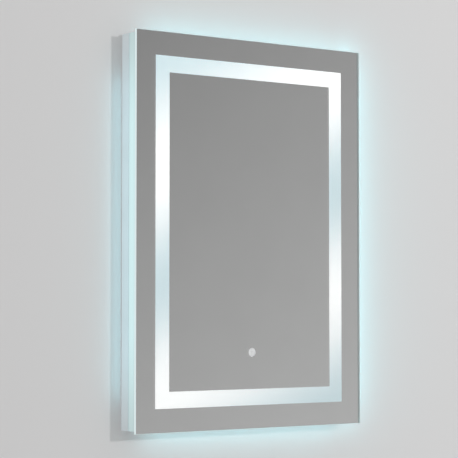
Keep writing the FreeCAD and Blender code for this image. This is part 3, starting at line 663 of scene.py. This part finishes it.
def lens_light(side):
    """An opal lens of the halo, brightest along its middle line and fading towards its two ends."""
    material, tree = new_material(f"lens_light_{side}")
    low, high = corners_of(f"halo_lens_{side}")
    middle = (low + high) / 2
    to_edge = stepped(tree, distance(tree, "Y", middle.y), LENS_CORE, high.y - middle.y)
    letter = LENGTHWAYS[side]
    number = "XYZ".index(letter)
    end = high[number] - middle[number]
    to_end = stepped(tree, distance(tree, letter, middle[number]), end - LENS_FADE, end)
    grain = noise(tree, 0.6 * MM, detail=2)
    shader = principled(
        tree,
        {
            "Base Color": (0.35, 0.37, 0.38, 1),
            "Roughness": mottled(tree, grain, 0.32, 0.42),
            "Emission Color": ramp(tree, to_edge, [(0, LENS_PALE), (1, LENS_DEEP)]),
            "Emission Strength": ramp(tree, to_end, [(0, LENS_STRENGTH), (1, LENS_END_STRENGTH)]),
            "Normal": bump(tree, grain, 0.01 * MM),
        },
    )
    surface(tree, shader)
    return material


def touch_spot():
    """The spot's light pipe, pale grey, and a little darker in its middle and at its rim."""
    material, tree = new_material("touch_spot")
    low, high = corners_of("touch_spot_lens")
    centre = (low + high) / 2
    across = distance(tree, "X", centre.x)
    up = distance(tree, "Z", centre.z)
    squares = maths(tree, "ADD", maths(tree, "POWER", across, 2.0), maths(tree, "POWER", up, 2.0))
    outwards = stepped(tree, maths(tree, "SQRT", squares), SPOT_CORE, SPOT_RADIUS)
    shader = principled(
        tree,
        {
            "Base Color": (0.5, 0.5, 0.5, 1),
            "Roughness": mottled(tree, noise(tree, 0.5 * MM), 0.4, 0.5),
            "Emission Color": ramp(tree, outwards, SPOT_TONES),
            "Emission Strength": SPOT_STRENGTH,
        },
    )
    surface(tree, shader)
    return material


# ---------------------------------------------------------------- metal, plastic, foam and boards


# Positions are scaled by the stretch along the die lines, which draws patches of noise out into lines.
# On an LED strip, a row of pads is PAD_ROW to each side of the middle line, and a pad begins every
# PAD_SPACING.
DIE_LINE_STRETCH = 0.004
PHOSPHOR_HALF_WIDTH = 1.7 * MM
PHOSPHOR_EDGE = 0.1 * MM
PAD_ROW = 3.4 * MM
PAD_HALF_WIDTH = 0.9 * MM
PAD_LENGTH = 4 * MM
PAD_SPACING = 50 * MM
PAD_OFFSET = 10.0
PAD_COPPER = (0.7, 0.36, 0.18, 1)
LED_LIGHT = (0.8, 0.95, 1.0, 1)
LED_STRENGTH = 2.0


def moulded(name, colour, roughness=0.45, grain=0.3 * MM, depth=0.01 * MM):
    """Moulded plastic or rubber: a fine grain in the surface and slow changes of tone."""
    material, tree = new_material(name)
    fine = noise(tree, grain, detail=2)
    slow = noise(tree, 40 * MM)
    shader = principled(
        tree,
        {
            "Base Color": mottled(tree, slow, darker(colour, 0.94), colour),
            "Roughness": mottled(tree, fine, roughness - 0.06, roughness + 0.08),
            "Normal": bump(tree, fine, depth),
        },
    )
    surface(tree, shader)
    return material


def drawn_metal(name, colour, roughness, along, line=0.25 * MM, depth=0.004 * MM, metallic=1.0):
    """Extruded or rolled metal, with fine die lines along the axis that along names."""
    material, tree = new_material(name)
    stretch = tuple(DIE_LINE_STRETCH if letter == along else 1 for letter in "XYZ")
    lines = noise(tree, line, stretch, detail=4)
    clouds = noise(tree, 60 * MM)
    dark = darker(colour, 0.9)
    tone = mix_colours(
        tree, 0.5, mottled(tree, lines, dark, colour), mottled(tree, clouds, dark, colour)
    )
    shader = principled(
        tree,
        {
            "Base Color": tone,
            "Metallic": metallic,
            "Roughness": ramp(tree, lines, [(0.25, roughness - 0.08), (0.75, roughness + 0.1)]),
            "Normal": bump(tree, lines, depth),
        },
    )
    surface(tree, shader)
    return material


def anodised(name, along):
    """The frame's pale anodised aluminium, whose oxide layer hides most of the metal's shine."""
    return drawn_metal(name, (0.81, 0.88, 0.91), 0.42, along, metallic=0.25)


def powder_coat():
    """Pale powder coat on sheet steel, with its fine orange peel."""
    material, tree = new_material("powder_coat")
    peel = noise(tree, 1.2 * MM, detail=2)
    slow = noise(tree, 150 * MM)
    shader = principled(
        tree,
        {
            "Base Color": mottled(tree, slow, (0.64, 0.65, 0.645), (0.69, 0.7, 0.695)),
            "Roughness": mottled(tree, peel, 0.38, 0.5),
            "Normal": bump(tree, peel, 0.03 * MM),
        },
    )
    surface(tree, shader)
    return material


def galvanised():
    """Zinc-coated sheet steel, with the coating's crystals as patches of tone and gloss."""
    material, tree = new_material("galvanised")
    crystals = add(
        tree, "ShaderNodeTexVoronoi", {"Vector": place(tree), "Scale": 1 / (7 * MM), "Randomness": 1.0}
    )
    tone = add(tree, "ShaderNodeSeparateXYZ", {"Vector": crystals.outputs["Color"]}).outputs["X"]
    scratches = noise(tree, 0.6 * MM, (0.02, 1, 1))
    shader = principled(
        tree,
        {
            "Base Color": ramp(tree, tone, [(0, (0.5, 0.52, 0.53)), (1, (0.66, 0.68, 0.69))]),
            "Metallic": 1.0,
            "Roughness": ramp(tree, tone, [(0, 0.3), (1, 0.5)]),
            "Normal": bump(tree, scratches, 0.005 * MM),
        },
    )
    surface(tree, shader)
    return material


def foam_tape():
    """Black closed-cell foam."""
    material, tree = new_material("foam")
    cells = add(tree, "ShaderNodeTexVoronoi", {"Vector": place(tree), "Scale": 1 / (0.4 * MM)})
    shader = principled(
        tree,
        {
            "Base Color": ramp(tree, cells.outputs["Distance"], [(0, 0.012), (0.7, 0.04)]),
            "Roughness": 0.85,
            "Normal": bump(tree, cells.outputs["Distance"], 0.1 * MM),
        },
    )
    surface(tree, shader)
    return material


def copper_pads(tree, from_middle, along):
    """1 on the pads in the two rows beside a strip's middle line, and 0 elsewhere. The offset keeps the
    position above 0 all along the strip, so that the spacing is even."""
    from_row = maths(tree, "ABSOLUTE", maths(tree, "SUBTRACT", from_middle, PAD_ROW))
    in_row = maths(tree, "LESS_THAN", from_row, PAD_HALF_WIDTH)
    cycle = maths(tree, "MODULO", maths(tree, "ADD", axis(tree, along), PAD_OFFSET), PAD_SPACING)
    in_length = maths(tree, "LESS_THAN", cycle, PAD_LENGTH)
    return maths(tree, "MULTIPLY", in_row, in_length)


def led_board(name, along):
    """A white flexible board with copper pads along its edges, and a lit phosphor line on it. along is
    the letter of the axis that the strip runs along."""
    material, tree = new_material(name)
    low, high = corners_of(name)
    from_middle = distance(tree, "Y", (low.y + high.y) / 2)
    off_line = stepped(tree, from_middle, PHOSPHOR_HALF_WIDTH, PHOSPHOR_HALF_WIDTH + PHOSPHOR_EDGE)
    pads = copper_pads(tree, from_middle, along)
    fine = noise(tree, 0.5 * MM, detail=2)
    board = mix_colours(tree, pads, mottled(tree, fine, 0.78, 0.84), PAD_COPPER)
    phosphor = mottled(tree, fine, (0.85, 0.62, 0.18), (0.95, 0.72, 0.25))
    on_line = maths(tree, "SUBTRACT", 1.0, off_line)
    shader = principled(
        tree,
        {
            "Base Color": mix_colours(tree, off_line, phosphor, board),
            "Metallic": maths(tree, "MULTIPLY", pads, off_line),
            "Roughness": mottled(tree, fine, 0.4, 0.5),
            "Emission Color": LED_LIGHT,
            "Emission Strength": maths(tree, "MULTIPLY", on_line, LED_STRENGTH),
            "Normal": bump(tree, fine, 0.02 * MM),
        },
    )
    surface(tree, shader)
    return material


def circuit_board():
    """Green solder mask, whose gloss changes a little from place to place."""
    material, tree = new_material("circuit_board")
    shader = principled(
        tree,
        {
            "Base Color": (0.03, 0.24, 0.1, 1),
            "Roughness": mottled(tree, noise(tree, 1 * MM), 0.25, 0.35),
        },
    )
    surface(tree, shader)
    return material


# ---------------------------------------------------------------- materials on the CAD nodes


def paint_all(nodes, material):
    """Gives several CAD nodes the same material."""
    for node in nodes:
        paint(node, material)


def paint_sides():
    """The pieces that come four times, once along each side of the mirror."""
    band = band_light()
    foam = foam_tape()
    aluminium = {"X": anodised("anodised_across", "X"), "Z": anodised("anodised_upright", "Z")}
    for side in SIDES:
        paint(f"band_diffuser_{side}", band)
        paint(f"halo_lens_{side}", lens_light(side))
        paint(f"bonding_tape_{side}", foam)
        paint(f"frame_rail_{side}", aluminium[LENGTHWAYS[side]])
        for kind in ("halo", "band"):
            name = f"{kind}_led_strip_{side}"
            paint(name, led_board(name, LENGTHWAYS[side]))


def paint_metal():
    """Corner keys, back panel, rails and fasteners."""
    key = drawn_metal("die_cast", (0.55, 0.56, 0.57), 0.55, "Y", line=1 * MM, depth=0.03 * MM)
    corners = ("top_right", "bottom_right", "bottom_left", "top_left")
    paint_all([f"corner_key_{corner}" for corner in corners], key)
    paint("back_pan", powder_coat())
    paint_all(["wall_rail", "hook_rail"], galvanised())
    bright_steel = drawn_metal("bright_steel", (0.6, 0.6, 0.6), 0.3, "Y", line=0.3 * MM)
    fasteners = ["pan_screws", "hook_rail_rivets", "driver_screws", "terminal_lid_screws"]
    paint_all(fasteners, bright_steel)


def paint_plastic():
    """Bumpers, gland, cases, boards, touch spot and leads."""
    rubber = moulded("rubber", (0.035, 0.035, 0.036), 0.7, grain=0.5 * MM, depth=0.03 * MM)
    paint_all(["wall_bumper_left", "wall_bumper_right"], rubber)
    nylon = moulded("black_nylon", (0.03, 0.03, 0.032), 0.45, grain=0.4 * MM, depth=0.02 * MM)
    paint_all(["cable_gland", "gland_nut"], nylon)
    white = moulded("white_plastic", (0.72, 0.72, 0.7), 0.4)
    paint_all(["driver_case", "driver_lid", "terminal_box", "terminal_box_lid"], white)
    paint("terminal_block", moulded("terminal_plastic", (0.55, 0.55, 0.52), 0.35))
    paint("touch_sensor_case", moulded("sensor_plastic", (0.05, 0.05, 0.055), 0.4))
    paint_all(["driver_board", "touch_sensor_board"], circuit_board())
    paint("touch_spot_lens", touch_spot())
    cover = moulded("lead_cover", (0.62, 0.62, 0.62), 0.42, grain=0.6 * MM)
    paint_all([f"{lead}_lead" for lead in ("mains_link", "band", "halo", "sensor")], cover)


# ---------------------------------------------------------------- the scene


use_plain_colours()
aim_camera()
painted_wall = make_wall()
make_floor()
add_key_lamp()
add_halo_lamps(painted_wall)
add_side_lamp()
make_room_light()
make_glass_plate()
paint_all(["silver_border", "silver_field"], silver())
paint_sides()
paint_metal()
paint_plastic()
